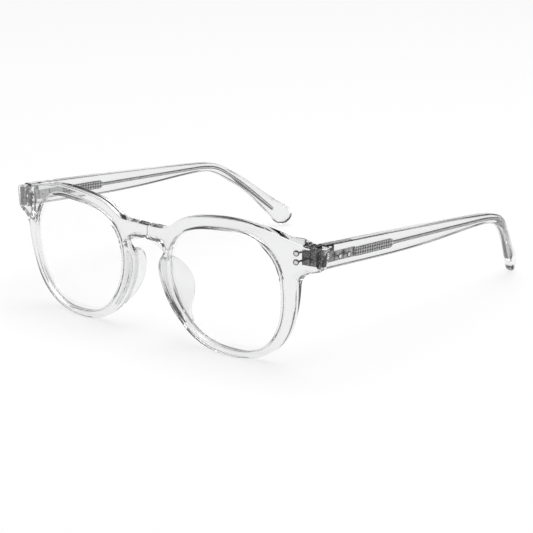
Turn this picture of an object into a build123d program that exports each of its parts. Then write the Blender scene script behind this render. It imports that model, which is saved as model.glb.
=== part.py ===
from build123d import *
import math
import os

# Clear acetate eyeglasses, in millimetres. While the pieces are drawn, X runs to the wearer's left,
# Y runs back from the bridge and Z runs up from the surface that the glasses stand on. The last step
# moves everything so that the origin is at the centre of the footprint.

# --- driving dimensions: the front ---
LENS_HALF_SPACING = 34.8    # from the bridge to a lens centre
FRONT_TILT = 3.4            # degrees that the top of the front leans forward
FRONT_HEIGHT = 24.15        # lens centres above the surface
FRONT_THICKNESS = 3.8
WRAP_RADIUS = 492.0         # horizontal wrap of the whole front
DOME_RADIUS = 132.0         # base curve round each lens
BRIDGE_SOFTNESS = 7.0       # half-width over which the two domes blend at the bridge
MITRE_Y = 12.6              # back face of the end pieces, where the temples butt
END_BLOCK_INNER_X = 60.6    # the end pieces are thick outside and above this
END_BLOCK_LOW_Z = 32.4
FRONT_EDGE_ROUND = 0.5      # edges of the front face
BACK_EDGE_ROUND = 0.7       # edges of the back face
PRISM_REACH = 30.0          # longer than the front is deep
BEYOND_SIDE = 80.0          # limits of cutting boxes, well outside the front
BEYOND_FACE = -10.0
BEYOND_TOP = 60.0

# --- lenses ---
LENS_RADIUS = 115.0
LENS_SETBACK = 1.0          # lens face behind the front face
LENS_THICKNESS = 1.8
BEVEL_DEPTH = 0.5           # how far the lens edge runs into the rim
BEVEL_WIDTH = 0.8

# --- temples ---
TEMPLE_OUTER_X = 70.2
TEMPLE_THICKNESS = 3.8
TEMPLE_START_Y = MITRE_Y + 0.05
TEMPLE_SLOPE = 4.07         # degrees down towards the ear
HINGE_LINE_Z = 37.9         # height of the temple's centre line at the hinge axis
TIP_CORNER_Y = 117.0        # corner of the turn inwards, seen from above
TIP_TURN = 22.0             # degrees that the tip turns in, seen from above
TIP_TURN_RADIUS = 30.0
TEMPLE_REACH = 40.0         # past the tip, for the plan that the side view is cut to
EDGE_ROUND = 0.7

# --- hinges ---
AXIS_X = 64.9
AXIS_Y = 14.1
HINGE_HEIGHT = 4.8
KNUCKLE_RADIUS = 1.3
KNUCKLE_GAP = 0.05
SCREW_RADIUS = 0.6
SCREW_HEAD_RADIUS = 1.1
SCREW_HEAD_HEIGHT = 0.5
SCREW_SLOT_WIDTH = 0.3
SCREW_SLOT_DEPTH = 0.25
BORE_OVERRUN = 1.0
RUNNING_CLEARANCE = 0.05
LEAF_THICKNESS = 1.1
FRONT_LEAF_INNER_X = 61.8
FRONT_LEAF_OUTER_X = 67.6
TEMPLE_LEAF_START_Y = 14.8
TEMPLE_LEAF_END_Y = 29.2
TEMPLE_LEAF_HEIGHT = 3.2
KNUCKLE_ARM_END_Y = 17.0
LUG_LENGTH = 3.3            # square lug that stands up from the front of the temple's leaf
LUG_HEIGHT = 2.2
LUG_SLOT_LENGTH = 2.3
LUG_SLOT_HEIGHT = 0.5
ARM_OVERLAP = 0.6           # how far a knuckle's arm runs into its leaf

# --- rivets and core wire ---
RIVET_RADIUS = 0.35
RIVET_HEAD_RADIUS = 1.0
RIVET_HEAD_HEIGHT = 0.5
RIVET_HEAD_PROUD = 0.1
FRONT_RIVET_U = 62.4
FRONT_RIVETS_V = {"upper": 15.4, "lower": 12.5}
TEMPLE_RIVETS_Y = {"front": 19.7, "rear": 24.4}
CORE_X = TEMPLE_OUTER_X - TEMPLE_THICKNESS / 2
CORE_PLATE_START_Y = 28.4
CORE_PLATE_END_Y = 49.6
CORE_PLATE_HEIGHT = 3.2
CORE_PLATE_THICKNESS = 0.8
CORE_PLATE_ROUND = 1.44     # corners of the plate's rear end
CORE_WIRE_RADIUS = 0.6
CORE_WIRE_OVERLAP = 1.0     # how far the wire starts inside the plate
WIRE_STRAIGHT_END_Y = 104.0

# Polar radius of a lens opening about its centre, every 30 degrees from the temple side upwards.
OPENING_RADII = [22.2, 23.1, 21.7, 19.7, 21.25, 24.4, 23.75, 22.4, 22.0, 21.6, 23.1, 22.8]

# Half outline of the front, from the bridge's underside round the rim to the end piece: across, up.
LOWER_EDGE = [
    (5.5, 11.3), (7.6, 10.8), (8.9, 9.2), (8.7, 7.3), (7.2, 5.5), (6.2, 3.2), (6.1, 0.2), (7.2, -4.2),
    (10.0, -10.1), (14.0, -15.4), (19.2, -19.9), (26.2, -23.2), (35.0, -24.3), (43.6, -23.5),
    (50.8, -20.6), (56.2, -15.6), (59.7, -8.6), (61.6, -1.2), (62.2, 4.0),
]
END_PIECE_COVE = [(62.2, 4.0), (63.4, 7.4), (66.0, 9.2), (70.2, 9.6)]
END_PIECE_TOP = (71.5, 16.3)
END_PIECE_CORNER = (71.3, 16.9)
UPPER_EDGE = [
    (70.6, 17.2), (66.7, 17.5), (60.3, 19.2), (53.5, 21.5), (46.4, 23.0), (38.9, 23.7), (30.8, 23.5),
    (22.1, 22.2), (17.2, 20.7), (13.6, 18.5), (10.6, 16.7), (5.0, 15.9), (0.0, 15.7),
]
BRIDGE_UNDERSIDE = (0.0, 11.3)

# Nose pad sections, top to bottom: height, inner and outer edge where it meets the rim, rear edge
# across and back, thickness there.
PAD_SECTIONS = [
    (29.6, 6.9, 9.4, 8.6, 8.3, 1.3),
    (27.0, 7.0, 10.2, 9.5, 11.9, 1.5),
    (22.0, 7.4, 10.8, 11.3, 14.5, 1.7),
    (17.0, 9.3, 12.4, 12.3, 14.2, 1.7),
    (12.0, 12.0, 15.0, 13.7, 11.4, 1.6),
    (8.2, 15.1, 17.8, 16.2, 9.6, 1.4),
]
PAD_ROOT_Y = 4.0
PAD_EDGE_ROUND = 0.55

# Edges of a temple seen from the side, from the butt over the ear to the tip and back: along Y, up.
TEMPLE_TOP = [(TEMPLE_START_Y, 42.7), (24.0, 41.6), (52.0, 39.0), (78.0, 36.4), (100.0, 34.0), (107.0, 33.1),
              (115.6, 31.1), (123.5, 26.7), (132.0, 20.3), (140.3, 13.4)]
TEMPLE_TIP_END = (148.7, 4.0)
TEMPLE_TIP_LOW = (145.0, 1.0)
TEMPLE_BOTTOM = [(139.6, 5.6), (133.8, 12.4), (125.6, 20.4), (117.8, 25.85), (111.3, 28.75), (102.0, 29.95),
                 (78.0, 30.4), (52.0, 31.5), (24.0, 33.7), (TEMPLE_START_Y, 34.6)]

# Course of the core wire past its straight run, over the ear and down into the tip: along Y, up.
WIRE_BEND = [(110.0, 30.75), (114.0, 29.9), (118.0, 28.3), (122.0, 25.6), (128.0, 20.6), (134.0, 15.0),
             (141.0, 8.1)]


def front_depth(u, v):
    """How far back the front face lies: a wide wrap, plus a dome about each lens centre."""
    from_lens = math.hypot(u, BRIDGE_SOFTNESS) - LENS_HALF_SPACING
    return u ** 2 / (2 * WRAP_RADIUS) + (from_lens ** 2 + v ** 2) / (2 * DOME_RADIUS)


def tilted(shape):
    """Stands a shape drawn in the front's own plane at the front's height and tilt."""
    return Location((0, 0, FRONT_HEIGHT), (FRONT_TILT, 0, 0)) * shape


def front_slab(thickness):
    """The curved sheet between the front face and the same face moved back."""
    columns = [-76 + 8 * i for i in range(20)]
    rows = [-30 + 7.5 * j for j in range(9)]
    grid = [[Vector(u, front_depth(u, v), v) for v in rows] for u in columns]
    face = Face.make_surface_from_array_of_points(grid)
    return Solid.extrude(face, Vector(0, thickness, 0))


def smooth_edge(points, start_direction, end_direction):
    return Edge.make_spline([Vector(*p) for p in points], scale=False,
                            tangents=[Vector(*start_direction), Vector(*end_direction)])


def front_outline():
    """Half of the front seen square on, from the bridge's middle to the end piece."""
    underside = Edge.make_line(BRIDGE_UNDERSIDE, LOWER_EDGE[0])
    rim = smooth_edge(LOWER_EDGE, (1, 0), (0.1, 1))
    cove = smooth_edge(END_PIECE_COVE, (0.1, 1), (1, 0))
    end = Edge.make_line(END_PIECE_COVE[-1], END_PIECE_TOP)
    corner = Edge.make_three_point_arc(END_PIECE_TOP, END_PIECE_CORNER, UPPER_EDGE[0])
    top = smooth_edge(UPPER_EDGE, (-1, 0.15), (-1, 0))
    middle = Edge.make_line(UPPER_EDGE[-1], BRIDGE_UNDERSIDE)
    return Face(Wire([underside, rim, cove, end, corner, top, middle]))


def prism(face):
    """Stands a face drawn across and up, and carries it right through the front."""
    return Pos(0, -PRISM_REACH, 0) * extrude(Plane.XZ * face, amount=2 * PRISM_REACH, dir=(0, 1, 0))


def opening_face(extra=0.0):
    points = []
    for i, radius in enumerate(OPENING_RADII):
        angle = math.radians(30 * i)
        reach = radius + extra
        points.append((LENS_HALF_SPACING + reach * math.cos(angle), reach * math.sin(angle)))
    return Face(Wire([Edge.make_spline([Vector(*p) for p in points], periodic=True)]))


def lens_shell(setback, thickness):
    """A spherical sheet, square to the front face at the lens centre."""
    vertex = front_depth(LENS_HALF_SPACING, 0) + setback
    slope = LENS_HALF_SPACING / WRAP_RADIUS
    length = math.hypot(1, slope)
    back = Vector(-slope / length, 1 / length, 0)
    centre = Vector(LENS_HALF_SPACING, vertex, 0) + back * LENS_RADIUS
    outer = Pos(*centre) * Sphere(LENS_RADIUS)
    inner = Pos(*(centre + back * thickness)) * Sphere(LENS_RADIUS)
    near_front = Pos(LENS_HALF_SPACING, 4, 0) * Box(60, 24, 56)
    return (outer & near_front) - inner


def make_lens():
    body = prism(opening_face()) & lens_shell(LENS_SETBACK, LENS_THICKNESS)
    bevel_setback = LENS_SETBACK + (LENS_THICKNESS - BEVEL_WIDTH) / 2
    bevel = prism(opening_face(BEVEL_DEPTH)) & lens_shell(bevel_setback, BEVEL_WIDTH)
    return tilted(body + bevel)


def hinge_bar(z_low, z_high, clearance=0.0):
    """One knuckle: a round bar about the hinge axis with the bore for the screw."""
    height = z_high - z_low
    bar = Pos(AXIS_X, AXIS_Y, (z_low + z_high) / 2) * Cylinder(KNUCKLE_RADIUS, height)
    bore_length = height + 2 * BORE_OVERRUN
    bore = Pos(AXIS_X, AXIS_Y, (z_low + z_high) / 2) * Cylinder(SCREW_RADIUS + clearance, bore_length)
    return bar, bore


HINGE_LOW = HINGE_LINE_Z - HINGE_HEIGHT / 2
HINGE_HIGH = HINGE_LINE_Z + HINGE_HEIGHT / 2
KNUCKLE_STEP = HINGE_HEIGHT / 3


def spans_box(x0, x1, y0, y1, z0, z1):
    return Pos((x0 + x1) / 2, (y0 + y1) / 2, (z0 + z1) / 2) * Box(x1 - x0, y1 - y0, z1 - z0)


def make_front_hinge():
    """Leaf let into the back of the end piece, with the top and bottom knuckles."""
    leaf = spans_box(FRONT_LEAF_INNER_X, FRONT_LEAF_OUTER_X, MITRE_Y - LEAF_THICKNESS, MITRE_Y,
                     HINGE_LOW, HINGE_HIGH)
    levels = [(HINGE_LOW, HINGE_LOW + KNUCKLE_STEP - KNUCKLE_GAP),
              (HINGE_HIGH - KNUCKLE_STEP + KNUCKLE_GAP, HINGE_HIGH)]
    for low, high in levels:
        bar, bore = hinge_bar(low, high)
        arm = spans_box(AXIS_X - KNUCKLE_RADIUS, AXIS_X + KNUCKLE_RADIUS, MITRE_Y - ARM_OVERLAP, AXIS_Y,
                        low, high)
        leaf = leaf + bar + arm - bore
    return leaf


def on_temple_line(y):
    """Height of the temple's centre line, which slopes down from the hinge axis."""
    return HINGE_LINE_Z - (y - AXIS_Y) * math.tan(math.radians(TEMPLE_SLOPE))


def temple_bar(x_low, x_high, y_low, y_high, height):
    """A flat bar that lies along the sloping centre line of the temple."""
    corners = [(y_low, on_temple_line(y_low) - height / 2), (y_high, on_temple_line(y_high) - height / 2),
               (y_high, on_temple_line(y_high) + height / 2), (y_low, on_temple_line(y_low) + height / 2)]
    side = make_face(Polyline(*corners, close=True))
    return Pos(x_low, 0, 0) * extrude(Plane.YZ * side, amount=x_high - x_low, dir=(1, 0, 0))


def make_temple_hinge():
    """Leaf let into the inner face of the temple, with the middle knuckle and a slotted lug."""
    inner_x = TEMPLE_OUTER_X - TEMPLE_THICKNESS
    outer_x = inner_x + LEAF_THICKNESS
    leaf = temple_bar(inner_x, outer_x, TEMPLE_LEAF_START_Y, TEMPLE_LEAF_END_Y, TEMPLE_LEAF_HEIGHT)
    lug_top = on_temple_line(TEMPLE_LEAF_START_Y) + TEMPLE_LEAF_HEIGHT / 2 + LUG_HEIGHT
    lug_end_y = TEMPLE_LEAF_START_Y + LUG_LENGTH
    lug = spans_box(inner_x, outer_x, TEMPLE_LEAF_START_Y, lug_end_y, on_temple_line(lug_end_y), lug_top)
    slot_z = lug_top - 1.5 * LUG_SLOT_HEIGHT
    slot_y = TEMPLE_LEAF_START_Y + LUG_LENGTH / 2
    slot = Pos(inner_x, slot_y, slot_z) * Box(3 * LEAF_THICKNESS, LUG_SLOT_LENGTH, LUG_SLOT_HEIGHT)
    low = HINGE_LOW + KNUCKLE_STEP
    high = HINGE_HIGH - KNUCKLE_STEP
    bar, bore = hinge_bar(low, high, RUNNING_CLEARANCE)
    arm = spans_box(AXIS_X, outer_x, AXIS_Y, KNUCKLE_ARM_END_Y, low, high)
    return leaf + bar + arm - bore + (lug - slot)


def make_hinge_screw():
    shaft = Pos(AXIS_X, AXIS_Y, HINGE_LINE_Z) * Cylinder(SCREW_RADIUS, HINGE_HEIGHT)
    head_z = HINGE_HIGH + SCREW_HEAD_HEIGHT / 2
    head = Pos(AXIS_X, AXIS_Y, head_z) * Cylinder(SCREW_HEAD_RADIUS, SCREW_HEAD_HEIGHT)
    slot_z = HINGE_HIGH + SCREW_HEAD_HEIGHT
    slot = Pos(AXIS_X, AXIS_Y, slot_z) * Box(SCREW_SLOT_WIDTH, 3 * SCREW_HEAD_RADIUS, 2 * SCREW_SLOT_DEPTH)
    return shaft + head - slot


def make_front_rivet(v):
    """Rivet with its round head square to the front face, and its shaft straight back through the leaf."""
    u = FRONT_RIVET_U
    depth = front_depth(u, v)
    reach = math.hypot(u, BRIDGE_SOFTNESS)
    slope_u = u / WRAP_RADIUS + (reach - LENS_HALF_SPACING) * u / reach / DOME_RADIUS
    on_face = Plane(origin=(u, depth, v), z_dir=(slope_u, -1, v / DOME_RADIUS)).location
    head_centre = RIVET_HEAD_PROUD - RIVET_HEAD_HEIGHT / 2
    head = tilted(on_face * Pos(0, 0, head_centre) * Cylinder(RIVET_HEAD_RADIUS, RIVET_HEAD_HEIGHT))
    lean = math.radians(FRONT_TILT)
    start_y = depth * math.cos(lean) - v * math.sin(lean) + RIVET_HEAD_HEIGHT / 2
    z = FRONT_HEIGHT + v * math.cos(lean) + depth * math.sin(lean)
    shaft = Cylinder(RIVET_RADIUS, MITRE_Y - start_y)
    return head + Pos(u, (start_y + MITRE_Y) / 2, z) * Rotation(90, 0, 0) * shaft


def make_temple_rivet(y):
    """Round-headed rivet from the outer face of the temple through to the hinge leaf."""
    along_x = Rotation(0, 90, 0)
    z = on_temple_line(y)
    shaft = Pos(CORE_X, y, z) * along_x * Cylinder(RIVET_RADIUS, TEMPLE_THICKNESS)
    head_x = TEMPLE_OUTER_X + RIVET_HEAD_PROUD - RIVET_HEAD_HEIGHT / 2
    head = Pos(head_x, y, z) * along_x * Cylinder(RIVET_HEAD_RADIUS, RIVET_HEAD_HEIGHT)
    return shaft + head


def middle_x(y):
    """X of the temple's middle: straight back, then an arc and a straight run inwards."""
    turn = math.radians(TIP_TURN)
    past = y - (TIP_CORNER_Y - TIP_TURN_RADIUS * math.tan(turn / 2))
    arc_end = TIP_TURN_RADIUS * math.sin(turn)
    if past < 0:
        return CORE_X
    if past < arc_end:
        return CORE_X - TIP_TURN_RADIUS + math.sqrt(TIP_TURN_RADIUS ** 2 - past ** 2)
    return CORE_X - TIP_TURN_RADIUS * (1 - math.cos(turn)) - (past - arc_end) * math.tan(turn)


def make_core_wire():
    """Flat patterned plate at the hinge end, drawn out into a round wire that ends in the tip."""
    half = CORE_PLATE_THICKNESS / 2
    plate = temple_bar(CORE_X - half, CORE_X + half, CORE_PLATE_START_Y, CORE_PLATE_END_Y, CORE_PLATE_HEIGHT)
    plate = fillet(plate.edges().filter_by(Axis.X).group_by(Axis.Y)[-1], CORE_PLATE_ROUND)
    start_y = CORE_PLATE_END_Y - CORE_WIRE_OVERLAP
    start = Vector(CORE_X, start_y, on_temple_line(start_y))
    straight_end = Vector(CORE_X, WIRE_STRAIGHT_END_Y, on_temple_line(WIRE_STRAIGHT_END_Y))
    bend = [straight_end] + [Vector(middle_x(y), y, z) for y, z in WIRE_BEND]
    leave = (straight_end - start).normalized()
    arrive = (bend[-1] - bend[-2]).normalized()
    round_ear = Edge.make_spline(bend, tangents=[leave, arrive], scale=False)
    path = Wire([Edge.make_line(start, straight_end), round_ear])
    profile = Plane(origin=start, z_dir=leave) * Circle(CORE_WIRE_RADIUS)
    return plate + sweep(profile, path=path)


def make_temple_blank():
    """Side view carried across, cut to the plan view that turns the tip inwards."""
    top = Edge.make_spline([Vector(*p) for p in TEMPLE_TOP])
    bottom = Edge.make_spline([Vector(*p) for p in TEMPLE_BOTTOM])
    end_round = smooth_edge([TEMPLE_TOP[-1], TEMPLE_TIP_END, TEMPLE_TIP_LOW, TEMPLE_BOTTOM[0]],
                            top % 1, bottom % 0)
    butt = Edge.make_line(TEMPLE_BOTTOM[-1], TEMPLE_TOP[0])
    side = Face(Wire([top, end_round, bottom, butt]))
    wide = Pos(TEMPLE_REACH, 0, 0) * extrude(Plane.YZ * side, amount=TEMPLE_REACH, dir=(1, 0, 0))
    inwards = math.radians(TIP_TURN)
    past_tip = (CORE_X - TEMPLE_REACH * math.sin(inwards), TIP_CORNER_Y + TEMPLE_REACH * math.cos(inwards))
    centre_line = FilletPolyline((CORE_X, 0), (CORE_X, TIP_CORNER_Y), past_tip, radius=TIP_TURN_RADIUS)
    plan = make_face(offset(centre_line, TEMPLE_THICKNESS / 2, kind=Kind.ARC))
    blank = (wide & extrude(plan, amount=BEYOND_TOP, both=True)).solid()
    return blank.fillet(EDGE_ROUND, blank.edges().filter_by(GeomType.BSPLINE))


def make_front_blank():
    """The outline cut from a curved sheet, with thick end pieces that stop at the mitre."""
    outline = tilted(prism(front_outline()))
    before_mitre = spans_box(-1, BEYOND_SIDE, BEYOND_FACE, MITRE_Y, -BEYOND_TOP, BEYOND_TOP)
    rim = outline & tilted(front_slab(FRONT_THICKNESS)) & before_mitre
    end_block = spans_box(END_BLOCK_INNER_X, BEYOND_SIDE, BEYOND_FACE, MITRE_Y, END_BLOCK_LOW_Z, BEYOND_TOP)
    return rim + (outline & tilted(front_slab(3 * FRONT_THICKNESS)) & end_block)


def make_pad_blank():
    sections = []
    for z, inner, outer, rear_x, rear_y, thickness in PAD_SECTIONS:
        corners = [(inner, PAD_ROOT_Y), (outer, PAD_ROOT_Y), (rear_x + thickness / 2, rear_y),
                   (rear_x - thickness / 2, rear_y)]
        sections.append(Plane.XY.offset(z) * make_face(Polyline(*corners, close=True)))
    blank = loft(sections)
    rear_edges = blank.edges().filter_by(lambda e: e.length > 20).sort_by(Axis.Y)[-2:]
    return fillet(rear_edges, PAD_EDGE_ROUND)


def build_side():
    """Every piece on the wearer's left. The right-hand pieces are its mirror image."""
    pieces = {}
    pieces["lens"] = make_lens()
    pieces["front_hinge"] = make_front_hinge()
    pieces["temple_hinge"] = make_temple_hinge()
    pieces["hinge_screw"] = make_hinge_screw()
    for name, v in FRONT_RIVETS_V.items():
        pieces["front_rivet_" + name] = make_front_rivet(v)
    for name, y in TEMPLE_RIVETS_Y.items():
        pieces["temple_rivet_" + name] = make_temple_rivet(y)
    pieces["core_wire"] = make_core_wire()
    for name in FRONT_RIVETS_V:
        pieces["front_hinge"] = pieces["front_hinge"] - pieces["front_rivet_" + name]
    temple = make_temple_blank() - pieces["core_wire"] - pieces["temple_hinge"]
    for name in TEMPLE_RIVETS_Y:
        pieces["temple_hinge"] = pieces["temple_hinge"] - pieces["temple_rivet_" + name]
        temple = temple - pieces["temple_rivet_" + name]
    pieces["temple"] = temple
    return pieces


def away_from_middle(face):
    """Edges of a face of the half front, without those on the plane of the bridge's middle."""
    return [e for e in face.edges() if max(abs((e @ 0).X), abs((e @ 1).X)) > 0.001]


def round_front(half):
    """Rounds the edges of the front face, then those of the back face."""
    front_face = half.faces().sort_by(SortBy.AREA)[-1]
    half = half.fillet(FRONT_EDGE_ROUND, away_from_middle(front_face))
    curved = [f for f in half.faces() if f.geom_type == GeomType.BSPLINE and f.area > 400]
    back_face = ShapeList(curved).sort_by(Axis.Y)[-1]
    return half.fillet(BACK_EDGE_ROUND, away_from_middle(back_face))


def build_front(side):
    """The acetate front, with its lens openings, grooves, leaf pockets and rivet holes."""
    half = round_front((make_front_blank() - tilted(prism(opening_face()))).solid())
    for name in ("lens", "front_hinge", "front_rivet_upper", "front_rivet_lower"):
        half = half - side[name]
    return half + mirror(half, about=Plane.YZ)


side = build_side()
front = build_front(side)
side["nose_pad"] = (make_pad_blank() - make_front_blank()).solids().sort_by(SortBy.VOLUME)[-1]
pieces = {"front_frame": front}
for name, shape in side.items():
    pieces["left_" + name] = shape
    pieces["right_" + name] = mirror(shape, about=Plane.YZ)
bounds = Compound(children=[Compound(p.solids()) for p in pieces.values()]).bounding_box()
to_origin = Pos(-bounds.center().X, -bounds.center().Y, -bounds.min.Z)
for name, shape in pieces.items():
    export_step(to_origin * shape, "parts/" + name + ".step")
print("moved by", to_origin.position, "size", bounds.size)
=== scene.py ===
import math

import bmesh
import bpy
import numpy as np
from mathutils import Matrix, Vector


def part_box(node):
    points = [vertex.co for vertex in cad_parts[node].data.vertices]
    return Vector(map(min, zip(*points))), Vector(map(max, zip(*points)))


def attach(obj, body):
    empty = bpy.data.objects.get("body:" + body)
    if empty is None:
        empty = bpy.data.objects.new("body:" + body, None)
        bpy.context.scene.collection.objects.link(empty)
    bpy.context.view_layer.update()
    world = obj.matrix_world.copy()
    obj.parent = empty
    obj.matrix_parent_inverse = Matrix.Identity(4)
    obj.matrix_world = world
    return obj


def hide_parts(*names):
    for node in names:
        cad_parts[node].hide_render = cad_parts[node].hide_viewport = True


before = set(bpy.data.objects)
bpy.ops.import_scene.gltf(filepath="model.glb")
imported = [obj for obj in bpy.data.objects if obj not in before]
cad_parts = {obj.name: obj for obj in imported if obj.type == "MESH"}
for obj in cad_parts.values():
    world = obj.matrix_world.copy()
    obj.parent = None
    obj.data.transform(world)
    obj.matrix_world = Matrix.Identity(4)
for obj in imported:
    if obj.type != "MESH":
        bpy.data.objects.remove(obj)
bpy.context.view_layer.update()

# Clear acetate eyeglasses. Shapes are worked out in millimetres, with X to the wearer's left, Y back from
# the bridge and Z up, and are moved to the frame's origin when they become meshes.
MM = 0.001

# --- sizes shared with the solids ---
LENS_HALF_SPACING = 34.8
FRONT_TILT = math.radians(3.4)
FRONT_HEIGHT = 24.15
FRONT_THICKNESS = 3.8
WRAP_RADIUS = 492.0
DOME_RADIUS = 132.0
BRIDGE_SOFTNESS = 7.0
MITRE_Y = 12.6
LENS_RADIUS = 115.0
LENS_SETBACK = 1.0
LENS_THICKNESS = 1.8
TEMPLE_OUTER_X = 70.2
TEMPLE_THICKNESS = 3.8
CORE_X = TEMPLE_OUTER_X - TEMPLE_THICKNESS / 2
TEMPLE_SLOPE = math.radians(4.07)
HINGE_LINE_Z = 37.9
AXIS_Y = 14.1
HINGE_HEIGHT = 4.8
SCREW_HEAD = 0.5
PLATE_START_Y = 28.4
PLATE_END_Y = 49.6
WIRE_STRAIGHT_END_Y = 104.0
TIP_SLOPE = math.radians(44.6)
TIP_CORNER_Y = 117.0
TIP_TURN = math.radians(22.0)
TIP_TURN_RADIUS = 30.0
TEMPLE_EDGE_ROUND = 0.7
RIVET_SHAFT_RADIUS = 0.35
FRONT_EDGE_ROUND = 0.5
BACK_EDGE_ROUND = 0.7
FRONT_RIVET_U = 62.4
FRONT_RIVETS_V = {"upper": 15.4, "lower": 12.5}
TEMPLE_RIVETS_Y = {"front": 19.7, "rear": 24.4}

# --- sizes of the finish ---
END_PIECE_EDGE_ROUND = 0.15      # back edges of the end piece, nearly sharp at the mitre
MITRE_GAP = 0.03                 # the end piece's back stops this far before the mitre
CREASE_DEPTH = 0.85              # fine crease at the middle of the bridge's back
CREASE_HALF_WIDTH = 0.8
GROOVE_DEPTH = 0.55              # V groove for the lens, and half its width at the mouth
GROOVE_HALF_WIDTH = 0.62
LENS_EDGE_GAP = 0.04             # between the lens's faces and the opening
LENS_TONGUE = 0.46               # how far the ground V edge reaches into the groove
TIP_EXTRA_ROUND = 0.85           # the temple's edges are rounded by this much more at the tip
TIP_LENGTH = 14.0                # stretch of the tip that has closely spaced rows
BEHIND_LEAF = 0.03               # the temple's inner face lies this far behind the leaf's
BUTT_BEVEL = 0.12
PLATE_HALF_HEIGHT = 1.58
PLATE_HALF_THICKNESS = 0.4
WIRE_RADIUS = 0.6
LOZENGE_LENGTH = 2.6
LOZENGE_HEIGHT = 2.1
LOZENGE_RELIEF = 0.06
PAD_SINK = 0.03                  # how far the pad's root reaches into the rim
PAD_FLARE = 0.5

TO_FRAME = np.array([
    0.0,
    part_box("front_frame")[1].y / MM - MITRE_Y,
    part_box("left_hinge_screw")[1].z / MM - (HINGE_LINE_Z + HINGE_HEIGHT / 2 + SCREW_HEAD),
])

OPENING_RADII = [22.2, 23.1, 21.7, 19.7, 21.25, 24.4, 23.75, 22.4, 22.0, 21.6, 23.1, 22.8]
LOWER_EDGE = [
    (5.5, 11.3), (7.6, 10.8), (8.9, 9.2), (8.7, 7.3), (7.2, 5.5), (6.2, 3.2), (6.1, 0.2), (7.2, -4.2),
    (10.0, -10.1), (14.0, -15.4), (19.2, -19.9), (26.2, -23.2), (35.0, -24.3), (43.6, -23.5),
    (50.8, -20.6), (56.2, -15.6), (59.7, -8.6), (61.6, -1.2), (62.2, 4.0),
]
END_PIECE_COVE = [(62.2, 4.0), (63.4, 7.4), (66.0, 9.2), (70.2, 9.6)]
END_PIECE_TOP = (71.5, 16.3)
END_PIECE_CORNER = (71.3, 16.9)
UPPER_EDGE = [
    (70.6, 17.2), (66.7, 17.5), (60.3, 19.2), (53.5, 21.5), (46.4, 23.0), (38.9, 23.7), (30.8, 23.5),
    (22.1, 22.2), (17.2, 20.7), (13.6, 18.5), (10.6, 16.7), (5.0, 15.9), (0.0, 15.7),
]
BRIDGE_UNDERSIDE = (0.0, 11.3)

# Where a line across the rim starts on the outline, and the angle at which it ends on the lens opening.
ACROSS_RIM = [
    ((0.0, 11.3), 161), ((5.5, 11.3), 163.5), ((7.6, 10.8), 165), ((8.9, 9.2), 167), ((8.7, 7.3), 169.5),
    ((6.2, 3.2), 175), ((6.1, 0.2), 180), ((7.2, -4.2), 189), ((10.0, -10.1), 202.5), ((14.0, -15.4), 216.5),
    ((19.2, -19.9), 231.9), ((26.2, -23.2), 249.6), ((35.0, -24.3), 270.5), ((43.6, -23.5), 290.5),
    ((50.8, -20.6), 307.8), ((56.2, -15.6), 323.9), ((59.7, -8.6), 340.9), ((61.6, -1.2), 357.4),
    ((62.2, 4.0), 367), ((63.4, 7.4), 370), ((66.0, 9.2), 373), ((70.2, 9.6), 376.5), ((71.5, 16.3), 384),
    ((70.6, 17.2), 386), ((66.7, 17.5), 390.5), ((60.3, 19.2), 399.5), ((53.5, 21.5), 410.5),
    ((46.4, 23.0), 423.7), ((38.9, 23.7), 440.3), ((30.8, 23.5), 459.6), ((22.1, 22.2), 480),
    ((17.2, 20.7), 490.9), ((13.6, 18.5), 499.5), ((10.6, 16.7), 505), ((5.0, 15.9), 511),
    ((0.0, 15.7), 515.5), ((0.0, 11.3), 521),
]

TEMPLE_TOP = [(12.65, 42.7), (24.0, 41.6), (52.0, 39.0), (78.0, 36.4), (100.0, 34.0), (107.0, 33.1),
              (115.6, 31.1), (123.5, 26.7), (132.0, 20.3), (140.3, 13.4)]
TEMPLE_TIP_END = (148.7, 4.0)
TEMPLE_TIP_LOW = (145.0, 1.0)
TEMPLE_BOTTOM = [(139.6, 5.6), (133.8, 12.4), (125.6, 20.4), (117.8, 25.85), (111.3, 28.75), (102.0, 29.95),
                 (78.0, 30.4), (52.0, 31.5), (24.0, 33.7), (12.65, 34.6)]
# Y on the top edge of a temple, and Y of the point square across it on the bottom edge.
ACROSS_TEMPLE = [(12.65, 12.65), (24.0, 23.3), (52.0, 51.4), (78.0, 77.6), (100.0, 99.7), (107.0, 106.55),
                 (112.0, 111.1), (115.6, 114.2), (119.0, 117.2), (123.5, 121.3), (128.0, 125.6),
                 (132.0, 129.3), (136.0, 132.8), (140.3, 136.4)]
# Course of the core wire past its straight run, over the ear and down into the tip: along Y, up.
WIRE_BEND = [(110.0, 30.75), (114.0, 29.9), (118.0, 28.3), (122.0, 25.6), (128.0, 20.6), (134.0, 15.0),
             (141.0, 8.1)]

# Pad sections: height, inner and outer X at the rim, X and Y of the rear edge, and thickness there.
PAD_SECTIONS = [
    (29.6, 6.9, 9.4, 8.6, 8.3, 1.3),
    (27.0, 7.0, 10.2, 9.5, 11.9, 1.5),
    (22.0, 7.4, 10.8, 11.3, 14.5, 1.7),
    (17.0, 9.3, 12.4, 12.3, 14.2, 1.7),
    (12.0, 12.0, 15.0, 13.7, 11.4, 1.6),
    (8.2, 15.1, 17.8, 16.2, 9.6, 1.4),
]


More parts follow.
